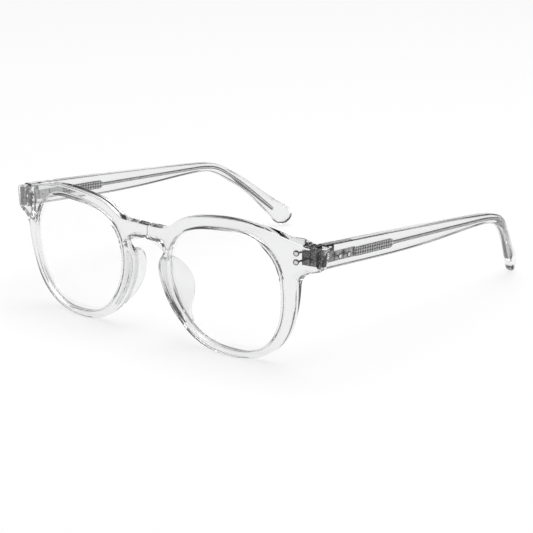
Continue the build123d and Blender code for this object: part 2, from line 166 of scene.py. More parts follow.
# ---------------------------------------------------------------------------------------------------
# Curves
# ---------------------------------------------------------------------------------------------------
def smooth_curve(points, count, start=None, end=None):
    """Cubic through all the points, knotted at their chord lengths, with no jump in its second derivative.

    The slopes at the knots solve one linear system. An end without a given slope takes that of the cubic
    through its four nearest points.
    """
    points = np.asarray(points, float)
    gaps = np.linalg.norm(np.diff(points, axis=0), axis=1)
    knots = np.concatenate(([0.0], np.cumsum(gaps)))
    chords = np.diff(points, axis=0) / gaps[:, None]
    system = np.eye(len(points))
    wanted = np.zeros_like(points)
    inner = np.arange(1, len(points) - 1)
    system[inner, inner - 1] = gaps[1:]
    system[inner, inner] = 2 * (gaps[:-1] + gaps[1:])
    system[inner, inner + 1] = gaps[:-1]
    wanted[inner] = 3 * (gaps[1:, None] * chords[:-1] + gaps[:-1, None] * chords[1:])
    first = np.polyfit(knots[:4] - knots[0], points[:4], 3)[2] if start is None else np.asarray(start, float)
    last = np.polyfit(knots[-4:] - knots[-1], points[-4:], 3)[2] if end is None else np.asarray(end, float)
    wanted[0] = first
    wanted[-1] = last
    slopes = np.linalg.solve(system, wanted)
    at = np.linspace(0.0, knots[-1], count)
    span = np.clip(np.searchsorted(knots, at, side="right") - 1, 0, len(gaps) - 1)
    gap = gaps[span][:, None]
    t = (at - knots[span])[:, None] / gap
    return ((1 + 2 * t) * (1 - t) ** 2 * points[span] + t * (1 - t) ** 2 * gap * slopes[span]
            + t ** 2 * (3 - 2 * t) * points[span + 1] - t ** 2 * (1 - t) * gap * slopes[span + 1])


def run_lengths(line):
    """Length along a line of points from its start to each point."""
    return np.concatenate(([0.0], np.cumsum(np.linalg.norm(np.diff(line, axis=0), axis=1))))


def along(line, lengths):
    """The points of a line at the given lengths from its start."""
    done = run_lengths(line)
    return np.stack([np.interp(lengths, done, line[:, k]) for k in range(line.shape[1])], axis=-1)


def evenly(line, step):
    """The same line with points about one step apart."""
    total = run_lengths(line)[-1]
    return along(line, np.linspace(0.0, total, max(2, int(round(total / step)) + 1)))


def softened_corner(before, after, reach):
    """Joins two lines with a parabola that starts and ends one reach from their shared corner."""
    before_length = run_lengths(before)[-1]
    after_length = run_lengths(after)[-1]
    head = along(before, np.linspace(0.0, before_length - reach, len(before)))
    tail = along(after, np.linspace(reach, after_length, len(after)))
    t = np.linspace(0.0, 1.0, 9)[1:-1, None]
    bend = (1 - t) ** 2 * head[-1] + 2 * t * (1 - t) * before[-1] + t ** 2 * tail[0]
    return np.concatenate((head, bend, tail))


def distance_to(line, points):
    """Shortest distance from each point to a line: its foot on every run, kept within the run."""
    start = line[:-1]
    run = line[1:] - start
    square = np.maximum((run ** 2).sum(-1), 1e-12)
    nearest = []
    for part in np.array_split(points, max(1, len(points) // 2000)):
        offset = part[:, None] - start[None]
        foot = np.clip((offset * run).sum(-1) / square, 0.0, 1.0)
        nearest.append(np.linalg.norm(offset - foot[..., None] * run, axis=-1).min(axis=1))
    return np.concatenate(nearest)


def edge_drop(distance, radius):
    """How far a face falls away near its edge: a quarter circle of the given radius."""
    inside = np.clip(radius - distance, 0.0, radius)
    return radius - np.sqrt(np.maximum(radius ** 2 - inside ** 2, 0.0))


def smoothstep(value, low, high):
    """0 below low, 1 above high, and 3t squared minus 2t cubed between."""
    t = np.clip((value - low) / (high - low), 0.0, 1.0)
    return t * t * (3 - 2 * t)


# ---------------------------------------------------------------------------------------------------
# Meshes
# ---------------------------------------------------------------------------------------------------
def grid_faces(rows, columns, round_rows=False, round_columns=False):
    """Quads between neighbouring points of a grid, which may run round on itself either way."""
    i = np.arange(rows if round_rows else rows - 1)
    j = np.arange(columns if round_columns else columns - 1)
    a, b = np.meshgrid(i, j, indexing="ij")
    c, d = (a + 1) % rows, (b + 1) % columns
    return np.stack([a * columns + b, c * columns + b, c * columns + d, a * columns + d], -1).reshape(-1, 4)


def mesh_piece(name, vertices, faces, body, material, nodes=(), sharp=32.0, weld=2e-6,
               recess=None):
    """A piece from arrays in millimetres: doubles merged, holes closed, faces turned outwards."""
    mesh = bpy.data.meshes.new(name)
    mesh.from_pydata(((vertices + TO_FRAME) * MM).tolist(), [], faces.tolist())
    if recess is not None:
        mask = mesh.attributes.new("recess", "FLOAT", "POINT")
        mask.data.foreach_set("value", recess.astype(np.float32).ravel())
    shell = bmesh.new()
    shell.from_mesh(mesh)
    bmesh.ops.remove_doubles(shell, verts=shell.verts, dist=weld)
    bmesh.ops.dissolve_degenerate(shell, edges=shell.edges, dist=weld / 4)
    open_edges = [e for e in shell.edges if e.is_boundary]
    if open_edges:
        bmesh.ops.holes_fill(shell, edges=open_edges, sides=0)
    bmesh.ops.recalc_face_normals(shell, faces=shell.faces)
    if shell.calc_volume(signed=True) < 0:
        bmesh.ops.reverse_faces(shell, faces=shell.faces)
    shell.to_mesh(mesh)
    shell.free()
    mesh.polygons.foreach_set("use_smooth", np.ones(len(mesh.polygons), bool))
    mesh.set_sharp_from_angle(angle=math.radians(sharp))
    mesh.materials.append(material)
    piece = bpy.data.objects.new(name, mesh)
    bpy.context.scene.collection.objects.link(piece)
    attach(piece, body)
    if nodes:
        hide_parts(*nodes)
    return piece


def mirrored(points):
    """The same points on the other side of the glasses: X with its sign changed."""
    return points * np.array([-1.0, 1.0, 1.0])


def on_side(points, turn):
    """A grid of points as a list, on the left for a turn of 1 and mirrored to the right for -1."""
    points = points.reshape(-1, 3)
    return points if turn > 0 else mirrored(points)


# ---------------------------------------------------------------------------------------------------
# Materials
# ---------------------------------------------------------------------------------------------------
def new_group(name, inputs, outputs):
    """An empty shader node group with named sockets."""
    group = bpy.data.node_groups.new(name, "ShaderNodeTree")
    for label, kind, value in inputs:
        socket = group.interface.new_socket(label, in_out="INPUT", socket_type=kind)
        socket.default_value = value
    for label, kind in outputs:
        group.interface.new_socket(label, in_out="OUTPUT", socket_type=kind)
    return group, group.nodes.new("NodeGroupInput"), group.nodes.new("NodeGroupOutput")


def add(tree, kind, settings=None, **sockets):
    """A node with its properties set and its sockets linked or given values."""
    node = tree.nodes.new(kind)
    for key, value in (settings or {}).items():
        setattr(node, key, value)
    for key, value in sockets.items():
        socket = node.inputs[int(key[1:])] if key[0] == "_" else node.inputs[key.replace("_", " ")]
        if isinstance(value, bpy.types.NodeSocket):
            tree.links.new(value, socket)
        else:
            socket.default_value = value
    return node


def math_node(tree, operation, a, b=0.0):
    """The output of a Math node on one or two values."""
    return add(tree, "ShaderNodeMath", {"operation": operation}, _0=a, _1=b).outputs[0]


def polish_group():
    """Hand-polished plastic: faint clouding of the tint, fine haze, and the slow ripple of a buffed face."""
    group, given, made = new_group(
        "polished_plastic",
        [("Tint", "NodeSocketColor", (1, 1, 1, 1)), ("Clouding", "NodeSocketFloat", 0.02),
         ("Haze", "NodeSocketFloat", 0.01), ("Ripple scale", "NodeSocketFloat", 150.0)],
        [("Colour", "NodeSocketColor"), ("Roughness", "NodeSocketFloat"), ("Height", "NodeSocketFloat")])
    place = add(group, "ShaderNodeTexCoord").outputs["Object"]
    cloud = add(group, "ShaderNodeTexNoise", Vector=place, Scale=90.0, Detail=3.0)
    shade = math_node(group, "MULTIPLY", cloud.outputs[0], given.outputs["Clouding"])
    shade = math_node(group, "SUBTRACT", 1.0, shade)
    tinted = add(group, "ShaderNodeVectorMath", {"operation": "SCALE"}, _0=given.outputs["Tint"], Scale=shade)
    haze = add(group, "ShaderNodeTexNoise", Vector=place, Scale=1400.0, Detail=2.0)
    rough = math_node(group, "MULTIPLY", haze.outputs[0], given.outputs["Haze"])
    ripple = add(group, "ShaderNodeTexNoise", Vector=place, Scale=given.outputs["Ripple scale"], Detail=1.0)
    group.links.new(tinted.outputs[0], made.inputs["Colour"])
    group.links.new(rough, made.inputs["Roughness"])
    group.links.new(ripple.outputs[0], made.inputs["Height"])
    return group


def metal_group():
    """Worked metal: streaks along one direction, uneven darker blotches, and painted shade in the recesses.
    """
    group, given, made = new_group(
        "worked_metal",
        [("Metal", "NodeSocketColor", (0.6, 0.6, 0.6, 1)), ("Streaks", "NodeSocketVector", (300, 4000, 4000)),
         ("Recess", "NodeSocketFloat", 0.0), ("Grime", "NodeSocketFloat", 0.8),
         ("Unevenness", "NodeSocketFloat", 0.3), ("Low roughness", "NodeSocketFloat", 0.15),
         ("High roughness", "NodeSocketFloat", 0.35)],
        [("Colour", "NodeSocketColor"), ("Roughness", "NodeSocketFloat"), ("Height", "NodeSocketFloat")])
    place = add(group, "ShaderNodeTexCoord").outputs["Object"]
    stretched = add(group, "ShaderNodeVectorMath", {"operation": "MULTIPLY"}, _0=place,
                    _1=given.outputs["Streaks"]).outputs[0]
    streak = add(group, "ShaderNodeTexNoise", Vector=stretched, Scale=1.0, Detail=4.0).outputs[0]
    blotch = add(group, "ShaderNodeTexNoise", Vector=place, Scale=700.0, Detail=3.0).outputs[0]
    both = math_node(group, "MULTIPLY", streak, blotch)
    dark = math_node(group, "MULTIPLY", both, given.outputs["Unevenness"])
    # Painted shade: the mask, times its strength, darkens the metal's colour.
    grime = math_node(group, "MULTIPLY", given.outputs["Recess"], given.outputs["Grime"])
    unshaded = math_node(group, "SUBTRACT", 1.0, grime)
    light = math_node(group, "MULTIPLY", math_node(group, "SUBTRACT", 1.0, dark), unshaded)
    shaded = add(group, "ShaderNodeVectorMath", {"operation": "SCALE"}, _0=given.outputs["Metal"],
                 Scale=light)
    rough = add(group, "ShaderNodeMapRange", Value=streak, _1=0.3, _2=0.7,
                _3=given.outputs["Low roughness"], _4=given.outputs["High roughness"]).outputs[0]
    group.links.new(shaded.outputs[0], made.inputs["Colour"])
    group.links.new(rough, made.inputs["Roughness"])
    group.links.new(streak, made.inputs["Height"])
    return group


POLISH = polish_group()
WORKED = metal_group()


def clear_plastic(name, tint, clouding, haze, ripple_scale, ripple_depth, ior):
    """Clear material with the shared polish. The ripple's depth is in metres."""
    material = bpy.data.materials.new(name)
    material.use_nodes = True
    tree = material.node_tree
    shader = tree.nodes["Principled BSDF"]
    shader.inputs["Transmission Weight"].default_value = 1.0
    shader.inputs["IOR"].default_value = ior
    effect = add(tree, "ShaderNodeGroup", {"node_tree": POLISH}, Tint=tint, Clouding=clouding, Haze=haze,
                 Ripple_scale=ripple_scale)
    bump = add(tree, "ShaderNodeBump", Strength=1.0, Distance=ripple_depth, Height=effect.outputs["Height"])
    tree.links.new(effect.outputs["Colour"], shader.inputs["Base Color"])
    tree.links.new(effect.outputs["Roughness"], shader.inputs["Roughness"])
    tree.links.new(bump.outputs[0], shader.inputs["Normal"])
    return material


def worked_metal(name, metal, streaks, unevenness, low, high, depth, grime=0.0, marks=()):
    """Metal with the shared wear, and painted shade in its recesses: the mesh's own mask, or marked bands.

    A mark is an axis (0 for X outwards, 1 for Y, 2 for Z), its middle, its half width and its strength.
    """
    material = bpy.data.materials.new(name)
    material.use_nodes = True
    tree = material.node_tree
    shader = tree.nodes["Principled BSDF"]
    shader.inputs["Metallic"].default_value = 1.0
    # The mesh's mask and the marked bands say where shade is painted into the colour.
    recess = add(tree, "ShaderNodeAttribute", {"attribute_name": "recess"}).outputs["Fac"]
    if marks:
        place = add(tree, "ShaderNodeTexCoord").outputs["Object"]
        split = add(tree, "ShaderNodeSeparateXYZ", _0=place).outputs
        measured = (math_node(tree, "ABSOLUTE", split[0]), split[1], split[2])
    for axis, middle, half_width, strength in marks:
        from_origin = math_node(tree, "SUBTRACT", measured[axis], (middle + TO_FRAME[axis]) * MM)
        aside = math_node(tree, "ABSOLUTE", from_origin)
        band = add(tree, "ShaderNodeMapRange", {"interpolation_type": "SMOOTHSTEP"}, Value=aside,
                   _1=half_width * MM * 0.7, _2=half_width * MM, _3=strength, _4=0.0).outputs[0]
        recess = math_node(tree, "MAXIMUM", recess, band)
    effect = add(tree, "ShaderNodeGroup", {"node_tree": WORKED}, Metal=metal, Streaks=streaks, Recess=recess,
                 Grime=grime, Unevenness=unevenness, Low_roughness=low, High_roughness=high)
    bump = add(tree, "ShaderNodeBump", Strength=0.6, Distance=depth, Height=effect.outputs["Height"])
    tree.links.new(effect.outputs["Colour"], shader.inputs["Base Color"])
    tree.links.new(effect.outputs["Roughness"], shader.inputs["Roughness"])
    tree.links.new(bump.outputs[0], shader.inputs["Normal"])
    return material


ACETATE = clear_plastic("clear_acetate", (0.86, 0.862, 0.865, 1), 0.02, 0.02, 120.0, 2e-6, 1.49)
LENS = clear_plastic("clear_lens", (0.995, 0.995, 0.995, 1), 0.004, 0.004, 60.0, 1e-7, 1.50)
# Painted shade: dark lines where the front leaf is stepped and between its knuckles, and the leaf darker than
# they are.
FRONT_MARKS = [(0, 64.9, 0.25, 1.0), (0, 67.5, 0.35, 1.0), (0, 62.0, 0.3, 0.9),
               (1, MITRE_Y - 1.4, 1.6, 0.6), (2, HINGE_LINE_Z, 0.35, 0.8)]
# Painted shade on the stop above the temple's leaf, on the leaf's darker front end, and in lines before its
# two rivets.
TEMPLE_MARKS = [(2, 41.2, 1.75, 0.95), (1, 15.6, 2.4, 0.35), (1, 18.2, 0.35, 0.8), (1, 22.9, 0.3, 0.8)]
FRONT_LEAF = worked_metal("front_hinge_steel", (0.85, 0.85, 0.855, 1), (1500, 1500, 1500), 1.4, 0.15, 0.4,
                          2.5e-5, grime=0.97, marks=FRONT_MARKS)
TEMPLE_LEAF = worked_metal("temple_hinge_steel", (0.5, 0.5, 0.505, 1), (3000, 300, 3000), 0.5, 0.2, 0.4, 3e-6,
                           grime=0.9, marks=TEMPLE_MARKS)
SCREW_STEEL = worked_metal("screw_steel", (0.5, 0.5, 0.5, 1), (3000, 3000, 600), 0.5, 0.15, 0.35, 3e-6)
RIVET = worked_metal("polished_rivet", (0.78, 0.78, 0.78, 1), (1500, 1500, 1500), 0.8, 0.1, 0.25, 3e-6,
                     grime=0.92)
CORE = worked_metal("core_metal", (0.88, 0.88, 0.88, 1), (3000, 1200, 3000), 0.7, 0.2, 0.4, 6e-6, grime=0.88)


# ---------------------------------------------------------------------------------------------------
# The front
# ---------------------------------------------------------------------------------------------------
def front_depth(u, v):
    """How far back the front face lies: a wide wrap, plus a dome about each lens centre."""
    from_lens = np.hypot(u, BRIDGE_SOFTNESS) - LENS_HALF_SPACING
    return u ** 2 / (2 * WRAP_RADIUS) + (from_lens ** 2 + v ** 2) / (2 * DOME_RADIUS)


def end_block(u, v):
    """0 on the rim and 1 on the thick end piece, with a smooth ramp between."""
    return smoothstep(u, 58.5, 62.5) * smoothstep(v, 5.5, 9.0)


def back_depth(u, v):
    """The front face moved back by the thickness, a fine crease at the bridge, and the end piece's mitre."""
    mitre = (MITRE_Y - MITRE_GAP + v * math.sin(FRONT_TILT)) / math.cos(FRONT_TILT)
    share = end_block(u, v)
    crease = CREASE_DEPTH * np.clip(1 - u / CREASE_HALF_WIDTH, 0.0, 1.0)
    return (front_depth(u, v) + FRONT_THICKNESS - crease) * (1 - share) + mitre * share


def stood_up(u, depth, v):
    """From the front's own plane to the glasses: tilted about X and raised."""
    return np.stack([u, depth * math.cos(FRONT_TILT) - v * math.sin(FRONT_TILT),
                     FRONT_HEIGHT + depth * math.sin(FRONT_TILT) + v * math.cos(FRONT_TILT)], axis=-1)


def lens_opening(degrees, extra=0.0):
    """The opening's edge at an angle about the lens centre, by the closed cubic through its radii."""
    turn = np.radians(np.arange(-360, 720, 30))
    radii = np.tile(np.array(OPENING_RADII) + extra, 3)
    knots = np.stack([radii * np.cos(turn), radii * np.sin(turn)], -1)
    curve = smooth_curve(knots, 6000)
    angle = np.unwrap(np.arctan2(curve[:, 1], curve[:, 0]))
    angle = np.degrees(angle - angle[0]) - 360.0
    return np.stack([LENS_HALF_SPACING + np.interp(degrees, angle, curve[:, 0]),
                     np.interp(degrees, angle, curve[:, 1])], -1)


def lens_depth(u, v, setback):
    """Depth of a sphere of the lens's curve, square to the front face at the lens centre."""
    slope = LENS_HALF_SPACING / WRAP_RADIUS
    back = np.array([-slope, 1.0]) / math.hypot(1.0, slope)
    vertex = front_depth(LENS_HALF_SPACING, 0.0) + LENS_SETBACK
    centre = np.array([LENS_HALF_SPACING, vertex]) + back * (LENS_RADIUS + setback)
    return centre[1] - np.sqrt(LENS_RADIUS ** 2 - (u - centre[0]) ** 2 - v ** 2)


def front_outline(step):
    """Half outline from the bridge's underside round the rim and end piece to its top: its lines joined."""
    underside = evenly(np.array([BRIDGE_UNDERSIDE, LOWER_EDGE[0]]), step)
    rim = evenly(smooth_curve(LOWER_EDGE, 2000, (1, 0), (0.1, 1)), step)
    cove = evenly(smooth_curve(END_PIECE_COVE, 400, (0.1, 1), (1, 0)), step)
    end = evenly(np.array([END_PIECE_COVE[-1], END_PIECE_TOP]), step)
    corner = smooth_curve([END_PIECE_TOP, END_PIECE_CORNER, UPPER_EDGE[0]], 100, (0.17, 0.98), (-1, 0.15))
    corner = evenly(corner, step / 2)
    top = evenly(smooth_curve(UPPER_EDGE, 1200, (-1, 0.15), (-1, 0)), step)
    side = softened_corner(np.concatenate((underside, rim[1:], cove[1:])), end, 0.7)
    return np.concatenate((side, corner[1:], top[1:]))


def across(start, end, edge_steps, inner_steps, reach):
    """Rows from one line to another: close together near both, spread evenly between."""
    length = np.linalg.norm(end - start, axis=-1)
    near = 1 - np.cos(np.linspace(0.0, math.pi / 2, edge_steps))
    share = np.minimum(near[:, None] * reach / length, 0.45)
    middle = np.linspace(0.0, 1.0, inner_steps + 2)[1:-1, None]
    between = share[-1] + (1 - 2 * share[-1]) * middle
    rows = np.concatenate((share, between, 1 - share[::-1]))
    return start[None] + (end - start)[None] * rows[..., None]


def front_half():
    """The rim about one lens opening, as a closed loop of rows carried round the opening.

    A line from each point of the outline to the lens opening gives the front and back rows. The walls
    join them, and the inner wall has a V groove for the lens.
    """
    outline = front_outline(0.42)
    middle_v = UPPER_EDGE[-1][1] - (UPPER_EDGE[-1][1] - BRIDGE_UNDERSIDE[1]) * (
        1 - np.cos(np.linspace(0.0, math.pi, 25))) / 2
    middle = np.stack([np.zeros(25), middle_v], -1)
    loop = np.concatenate((outline, middle[1:-1]))
    closed = np.concatenate((loop, loop[:1]))
    lengths = run_lengths(closed)
    marks = np.array([p for p, _ in ACROSS_RIM])
    at = lengths[np.linalg.norm(closed[None] - marks[:, None], axis=-1).argmin(axis=1)]
    at[0] = 0.0
    at[-1] = lengths[-1]
    angles = np.interp(lengths[:-1], at, [a for _, a in ACROSS_RIM])
    opening = lens_opening(angles)
    rows = across(loop, opening, 9, 6, 1.1)
    u, v = rows[..., 0], rows[..., 1]
    flat = rows.reshape(-1, 2)
    from_outline = distance_to(outline, flat).reshape(u.shape)
    from_opening = distance_to(np.concatenate((opening, opening[:1])), flat).reshape(u.shape)
    block = end_block(u, v)
    front_drop = np.maximum(edge_drop(from_outline, FRONT_EDGE_ROUND),
                            edge_drop(from_opening, FRONT_EDGE_ROUND))
    outer_drop = (edge_drop(from_outline, BACK_EDGE_ROUND) * (1 - block)
                  + edge_drop(from_outline, END_PIECE_EDGE_ROUND) * block)
    back_drop = np.maximum(outer_drop, edge_drop(from_opening, BACK_EDGE_ROUND))
    face = front_depth(u, v) + front_drop
    back = back_depth(u, v) - back_drop
    out = opening - np.array([LENS_HALF_SPACING, 0.0])
    out /= np.linalg.norm(out, axis=-1, keepdims=True)
    seat = lens_depth(opening[:, 0], opening[:, 1], LENS_THICKNESS / 2)
    groove_at = np.array([-GROOVE_HALF_WIDTH, -0.06, 0.06, GROOVE_HALF_WIDTH])[:, None]
    groove_in = np.array([0.0, GROOVE_DEPTH, GROOVE_DEPTH, 0.0])[:, None, None]
    groove = opening[None] + out[None] * groove_in
    groove_depth = seat[None] + groove_at
    share = np.array([0.25, 0.5, 0.75])[:, None]
    wall_depth = back[0] * (1 - share) + face[0] * share
    wall = np.repeat(loop[None], 3, axis=0)
    section = np.concatenate((rows, groove, rows[::-1], wall))
    depth = np.concatenate((face, groove_depth, back[::-1], wall_depth))
    points = stood_up(section[..., 0], depth, section[..., 1])
    faces = grid_faces(points.shape[0], points.shape[1], round_rows=True, round_columns=True)
    points = points.reshape(-1, 3)
    on_middle = np.abs(points[:, 0]) < 1e-6
    return points, faces[~on_middle[faces].all(axis=1)]


def make_front():
    """Both halves of the front in one mesh: the left one and its mirror image, joined at the middle."""
    points, faces = front_half()
    other = faces[:, ::-1] + len(points)
    return mesh_piece("acetate_front", np.concatenate((points, mirrored(points))),
                      np.concatenate((faces, other)), "front", ACETATE, ["front_frame"])


def make_lens(side, turn):
    """Disc between two spheres: rings from its centre to its ground V edge and back."""
    angles = np.linspace(0.0, 360.0, 241)[:-1]
    edge = lens_opening(angles, -LENS_EDGE_GAP)
    tip = lens_opening(angles, LENS_TONGUE)
    centre = np.array([LENS_HALF_SPACING, 0.0])
    share = np.array([0.0, 0.15, 0.35, 0.55, 0.75, 0.88, 0.95, 0.985, 1.0])[:, None, None]
    disc = centre + (edge - centre)[None] * share
    face = lens_depth(disc[..., 0], disc[..., 1], 0.0)
    back = lens_depth(disc[..., 0], disc[..., 1], LENS_THICKNESS)
    middle = lens_depth(edge[:, 0], edge[:, 1], LENS_THICKNESS / 2)
    bevel = np.stack((edge, tip, tip, edge))
    bevel_depth = middle[None] + np.array([-0.5, -0.05, 0.05, 0.5])[:, None]
    section = np.concatenate((disc, bevel, disc[::-1]))
    depth = np.concatenate((face, bevel_depth, back[::-1]))
    points = stood_up(section[..., 0], depth, section[..., 1])
    faces = grid_faces(points.shape[0], points.shape[1], round_columns=True)
    points = on_side(points, turn)
    return mesh_piece(side + "_clear_lens", points, faces, "front", LENS, [side + "_lens"])


# ---------------------------------------------------------------------------------------------------
# Temples
# ---------------------------------------------------------------------------------------------------
def plan_x(y, offset):
    """X of a line at a constant offset outside the temple's middle: straight, an arc, and straight again."""
    start = TIP_CORNER_Y - TIP_TURN_RADIUS * math.tan(TIP_TURN / 2)
    centre = CORE_X - TIP_TURN_RADIUS
    radius = TIP_TURN_RADIUS + offset
    past = y - start
    arc = centre + np.sqrt(np.maximum(radius ** 2 - np.clip(past, 0.0, None) ** 2, 1.0))
    tail = centre + radius * math.cos(TIP_TURN) - (past - radius * math.sin(TIP_TURN)) * math.tan(TIP_TURN)
    return np.where(past < radius * math.sin(TIP_TURN), arc, tail)


def temple_edges():
    """Top and bottom edges of a temple seen from the side, both from the butt to the end of the tip."""
    top = smooth_curve(TEMPLE_TOP, 3000)
    bottom = smooth_curve(TEMPLE_BOTTOM, 3000)
    leave = (top[-1] - top[-2]) / np.linalg.norm(top[-1] - top[-2])
    arrive = (bottom[1] - bottom[0]) / np.linalg.norm(bottom[1] - bottom[0])
    tip_points = [TEMPLE_TOP[-1], TEMPLE_TIP_END, TEMPLE_TIP_LOW, TEMPLE_BOTTOM[0]]
    tip = smooth_curve(tip_points, 1200, leave, arrive)
    pole = (tip[:, 0] * math.cos(TIP_SLOPE) - tip[:, 1] * math.sin(TIP_SLOPE)).argmax()
    return (np.concatenate((top, tip[1:pole + 1])), np.concatenate((tip[pole:], bottom[1:]))[::-1])


def make_temple(side, turn):
    """Two faces between the top and bottom edges, rounded by their distance to them, and the walls.

    The rounding widens towards the tip, which is polished to a full curve.
    """
    upper, lower = temple_edges()
    upper_run, lower_run = run_lengths(upper), run_lengths(lower)
    tops, bottoms = np.array(ACROSS_TEMPLE).T
    upper_at = np.append([upper_run[np.abs(upper[:3000, 0] - y).argmin()] for y in tops], upper_run[-1])
    lower_at = np.append([lower_run[np.abs(lower[:2990, 0] - y).argmin()] for y in bottoms], lower_run[-1])
    along_bar = np.linspace(0.3, upper_run[-1] - TIP_LENGTH, 230)
    round_tip = upper_run[-1] - TIP_LENGTH * (1 - np.linspace(0.0, 1.0, 141)[1:]) ** 1.2
    stations = np.concatenate(([0.0, BUTT_BEVEL], along_bar, round_tip))
    top = along(upper, stations)
    bottom = along(lower, np.interp(stations, upper_at, lower_at))
    rows = across(bottom[:-1], top[:-1], 13, 4, 1.7)
    rows = np.concatenate((rows, np.repeat(top[None, -1:], rows.shape[0], axis=0)), axis=1)
    y, z = rows[..., 0], rows[..., 1]
    boundary = np.concatenate((bottom[:-1], top[::-1]))
    distance = distance_to(boundary, rows.reshape(-1, 2)).reshape(y.shape)
    drop = edge_drop(distance, TEMPLE_EDGE_ROUND + TIP_EXTRA_ROUND * smoothstep(y, 116.0, 138.0))
    butt = np.clip(BUTT_BEVEL - stations, 0.0, None)[None]
    half = TEMPLE_THICKNESS / 2 - drop - butt
    share = np.array([0.25, 0.5, 0.75])[:, None]
    top_wall = half[-1] * (1 - 2 * share)
    bottom_wall = half[0] * (2 * share - 1)
    offset = np.concatenate((half, top_wall, BEHIND_LEAF - half[::-1], bottom_wall))
    side_y = np.concatenate((y, np.repeat(y[-1:], 3, axis=0), y[::-1], np.repeat(y[:1], 3, axis=0)))
    side_z = np.concatenate((z, np.repeat(z[-1:], 3, axis=0), z[::-1], np.repeat(z[:1], 3, axis=0)))
    points = np.stack([plan_x(side_y, offset), side_y, side_z], -1)
    faces = grid_faces(points.shape[0], points.shape[1], round_rows=True)
    points = on_side(points, turn)
    return mesh_piece(side + "_acetate_temple", points, faces, side + "_temple", ACETATE,
                      [side + "_temple"])


def on_temple_line(y):
    """Height of the line through the hinge's middle that falls along the temple at its slope."""
    return HINGE_LINE_Z - (y - AXIS_Y) * math.tan(TEMPLE_SLOPE)


def pressed_pattern(length, height):
    """Relief on the core plate, from -1 to 1: two crossing waves, which leave raised lozenges."""
    rising = np.cos(2 * math.pi * (length / LOZENGE_LENGTH + height / LOZENGE_HEIGHT))
    falling = np.cos(2 * math.pi * (length / LOZENGE_LENGTH - height / LOZENGE_HEIGHT))
    return rising * falling


def core_path():
    """Middle of the plate and wire: straight along the temple, then a smooth curve through its bend."""
    straight = [(CORE_X, y, on_temple_line(y)) for y in (PLATE_START_Y, WIRE_STRAIGHT_END_Y)]
    bend = straight[1:] + [(float(plan_x(np.float64(y), 0.0)), y, z) for y, z in WIRE_BEND]
    leave = np.array([0.0, math.cos(TEMPLE_SLOPE), -math.sin(TEMPLE_SLOPE)])
    arrive = np.array(bend[-1]) - np.array(bend[-2])
    curve = smooth_curve(bend, 600, leave, arrive / np.linalg.norm(arrive))
    return evenly(np.concatenate((np.array(straight), curve[1:])), 0.12)


def make_core(side, turn):
    """A rounded-rectangle plate drawn out into a round wire: one profile along the temple's middle.

    The profile is a superellipse whose power falls from 8 to 2 where the plate becomes the wire.
    """
    path = core_path()
    run = run_lengths(path)
    tangent = np.gradient(path, run, axis=0)
    tangent /= np.linalg.norm(tangent, axis=1, keepdims=True)
    across_axis = np.array([1.0, 0.0, 0.0]) - tangent[:, :1] * tangent
    across_axis /= np.linalg.norm(across_axis, axis=1, keepdims=True)
    up_axis = np.cross(across_axis, tangent)
    plate_end = PLATE_END_Y - PLATE_START_Y
    to_wire = smoothstep(run, plate_end - 1.5, plate_end + 0.6)
    start_round = np.sqrt(np.clip(1 - (1 - np.clip(run / 0.5, 0.0, 1.0)) ** 2, 0.0, 1.0)) * 0.25 + 0.75
    end_round = np.sqrt(np.clip(1 - (1 - np.clip((run[-1] - run) / 0.6, 0.0, 1.0)) ** 2, 0.0, 1.0))
    half_height = (PLATE_HALF_HEIGHT * (1 - to_wire) + WIRE_RADIUS * to_wire) * start_round * end_round
    half_width = (PLATE_HALF_THICKNESS * (1 - to_wire) + WIRE_RADIUS * to_wire) * end_round
    power = 8.0 * (1 - to_wire) + 2.0 * to_wire
    even = np.linspace(-1.0, 1.0, 33)
    rise = (even * (1.5 - 0.5 * even ** 2))[:, None]
    bulge = np.maximum(1 - np.abs(rise) ** power, 0.0) ** (1 / power) * half_width
    high = np.concatenate((rise, rise[-2:0:-1])) * half_height
    wide = np.concatenate((bulge, -bulge[-2:0:-1]))
    on_face = (np.abs(wide) > 0.9 * half_width) * (1 - to_wire)
    relief = pressed_pattern(run[None], high)
    # Painted shade in the hollows of the pattern on the plate's faces, and along the wire's upper and lower
    # sides.
    on_edge = smoothstep(np.abs(high) / np.maximum(half_height, 1e-6), 0.3, 0.75) * to_wire
    recess = np.clip(0.5 - 0.9 * relief, 0.0, 1.0) * on_face + 0.8 * on_edge
    wide = wide + np.sign(wide) * LOZENGE_RELIEF * relief * on_face
    points = path[None] + wide[..., None] * across_axis[None] + high[..., None] * up_axis[None]
    faces = grid_faces(points.shape[0], points.shape[1], round_rows=True)
    points = on_side(points, turn)
    return mesh_piece(side + "_core", points, faces, side + "_temple", CORE, [side + "_core_wire"],
                      sharp=50.0, recess=recess)


# ---------------------------------------------------------------------------------------------------
# Rivets
# ---------------------------------------------------------------------------------------------------
# Distance in from the face and radius, from the middle of the domed head to the start of the shaft.
RIVET_PROFILE = np.array([
    (-0.1, 0.0), (-0.098, 0.2), (-0.09, 0.42), (-0.075, 0.58), (-0.05, 0.68), (-0.01, 0.74), (0.0, 0.8),
    (0.0, 0.92), (0.03, 0.985), (0.1, 1.0), (0.36, 1.0), (0.4, 0.96), (0.4, 0.5), (0.44, 0.38), (0.5, 0.35),
])


